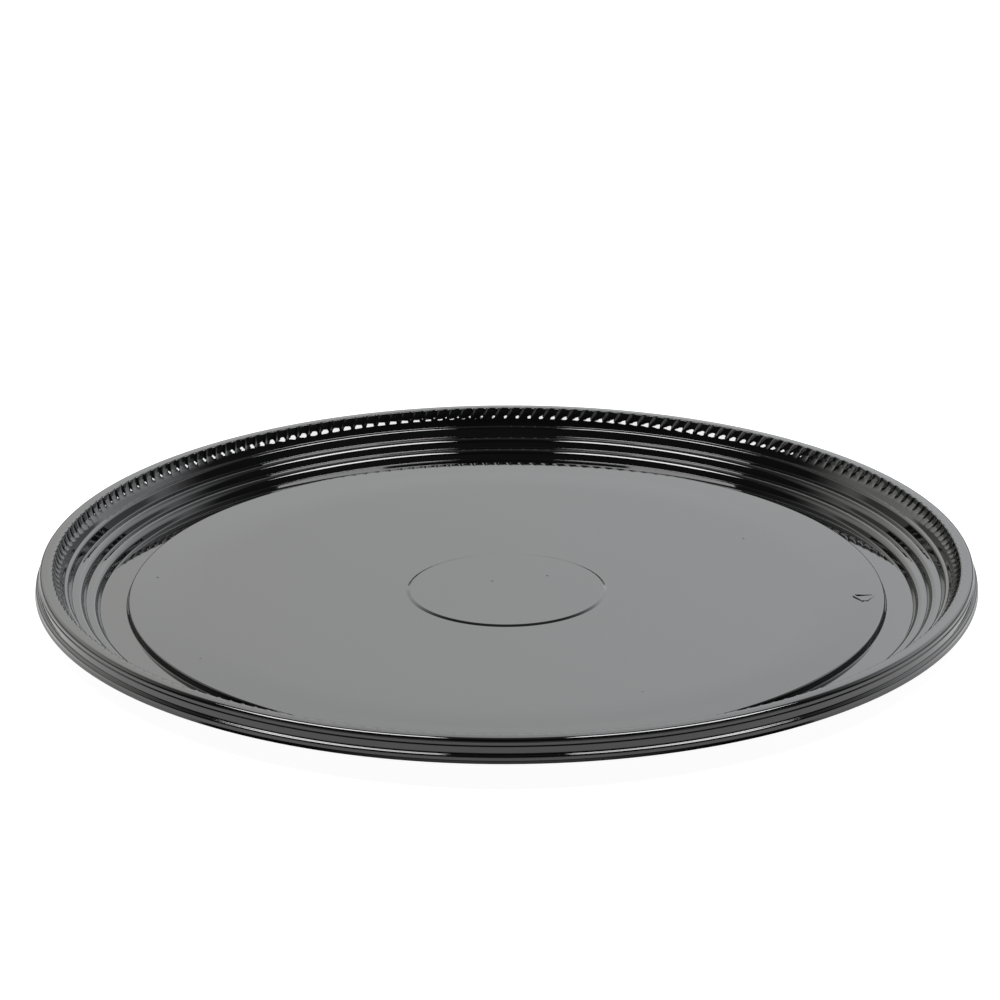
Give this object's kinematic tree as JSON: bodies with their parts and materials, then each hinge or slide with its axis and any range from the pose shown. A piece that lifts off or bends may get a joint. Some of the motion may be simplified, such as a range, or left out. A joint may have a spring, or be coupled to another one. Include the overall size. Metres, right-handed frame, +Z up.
{
  "type": "round catering serving tray",
  "caption": "Large round serving tray formed from one glossy black plastic sheet, with a raised floor, a stepped wall, a fluted rim and a hollow outer skirt.",
  "frame": {"origin": "on the tray's axis, on the surface that the foot ring rests on", "axes": "+Z up along the tray's axis; +X to the right and +Y away from the person who sees the moulded triangle on the right"},
  "size_m": [0.4571, 0.4572, 0.0226],
  "materials": {
    "gloss_black_plastic": "mirror-gloss formed PET sheet"
  },
  "bodies": {
    "root": {"tray": "gloss_black_plastic"}
  },
  "joints": []
}
